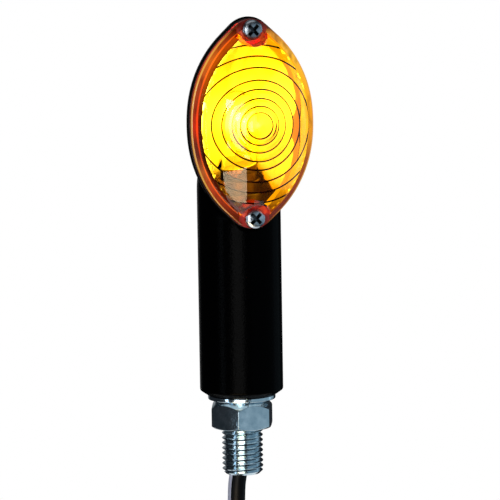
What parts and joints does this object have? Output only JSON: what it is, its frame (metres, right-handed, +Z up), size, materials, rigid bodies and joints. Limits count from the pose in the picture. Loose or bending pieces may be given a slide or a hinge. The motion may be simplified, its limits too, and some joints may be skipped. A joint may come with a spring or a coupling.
{
  "type": "turn signal indicator",
  "caption": "Small motorcycle turn signal: amber cat-eye lens on a round black stem, with a hollow threaded stud, nut, washer and lead.",
  "frame": {"origin": "centre of the stem's bottom face, on the stud's axis", "axes": "+Z up the stem to the head, the lens faces -Y, +X to the right of someone who looks at the lens"},
  "size_m": [0.033, 0.0302, 0.2415],
  "materials": {
    "black_paint": "satin black paint with a fine grain",
    "rubber": "moulded black rubber",
    "amber_lens": "clear amber plastic, glossy",
    "mirror_coat": "vacuum-metallised plastic",
    "screw_steel": "bright plated",
    "zinc_plate": "blue zinc plate",
    "nickel_plate": "nickel plated brass",
    "fibre_board": "red-brown fibre",
    "brass": "stamped brass",
    "spring_steel": "drawn spring wire",
    "solder": "dull solder",
    "bulb_glass": "clear lamp glass",
    "tungsten": "lit filament",
    "black_vinyl": "black cable jacket with a pale tracer",
    "blue_vinyl": "blue wire insulation",
    "tie_nylon": "black nylon",
    "clear_vinyl": "clear vinyl sleeve"
  },
  "bodies": {
    "casing": {"housing": "black_paint", "lens_gasket": "rubber", "reflector": "mirror_coat", "threaded_stud": "zinc_plate", "socket_shell": "nickel_plate", "socket_flange": "nickel_plate", "socket_insulator": "fibre_board", "feed_terminal": "brass", "ground_lug": "brass", "contact_spring": "spring_steel", "wire_grommet": "rubber", "feed_wire": "blue_vinyl", "ground_wire": "black_vinyl", "cable": "black_vinyl", "cable_hank": "black_vinyl", "cable_tie": "tie_nylon", "feed_tail": "blue_vinyl", "ground_tail": "black_vinyl", "feed_sleeve": "clear_vinyl", "ground_sleeve": "clear_vinyl", "feed_bullet": "brass", "ground_bullet": "brass"},
    "lens": {"lens": "amber_lens"},
    "upper_screw": {"upper_lens_screw": "screw_steel"},
    "lower_screw": {"lower_lens_screw": "screw_steel"},
    "washer": {"lock_washer": "zinc_plate"},
    "nut": {"hex_nut": "zinc_plate"},
    "plunger": {"contact_plunger": "brass"},
    "bulb": {"bulb_base": "nickel_plate", "bulb_insulator": "fibre_board", "bulb_contact": "solder", "bulb_glass": "bulb_glass", "bulb_filament": "tungsten"}
  },
  "joints": [
    {"name": "washer_slide", "type": "slide", "parent": "casing", "child": "washer", "axis": [0, 0, -1], "range_m": [0, 0.01125]},
    {"name": "nut_spin", "type": "hinge", "parent": "washer", "child": "nut", "pos_m": [0, 0, -0.0046], "axis": [0, 0, -1], "range_deg": [0, 3240]},
    {"name": "lens_removal", "type": "slide", "parent": "casing", "child": "lens", "axis": [0, -1, 0], "range_m": [0, 0.04]},
    {"name": "upper_screw_turn", "type": "hinge", "parent": "lens", "child": "upper_screw", "pos_m": [0, -0.0125, 0.08935], "axis": [0, -1, 0], "range_deg": [0, 1080]},
    {"name": "lower_screw_turn", "type": "hinge", "parent": "lens", "child": "lower_screw", "pos_m": [0, -0.0125, 0.04425], "axis": [0, -1, 0], "range_deg": [0, 1080]},
    {"name": "bulb_push", "type": "slide", "parent": "casing", "child": "plunger", "axis": [0, 0, -1], "range_m": [0, 0.0015], "stiffness_N_per_m": 1200, "springref_m": -0.003, "deforming": ["contact_spring"]},
    {"name": "bulb_turn", "type": "hinge", "parent": "plunger", "child": "bulb", "pos_m": [0, 0, 0.047], "axis": [0, 0, 1], "range_deg": [0, 25]}
  ],
  "couplings": [
    {"joint": "nut_spin", "follows": "washer_slide", "rad_per_m": 5026.5}
  ]
}
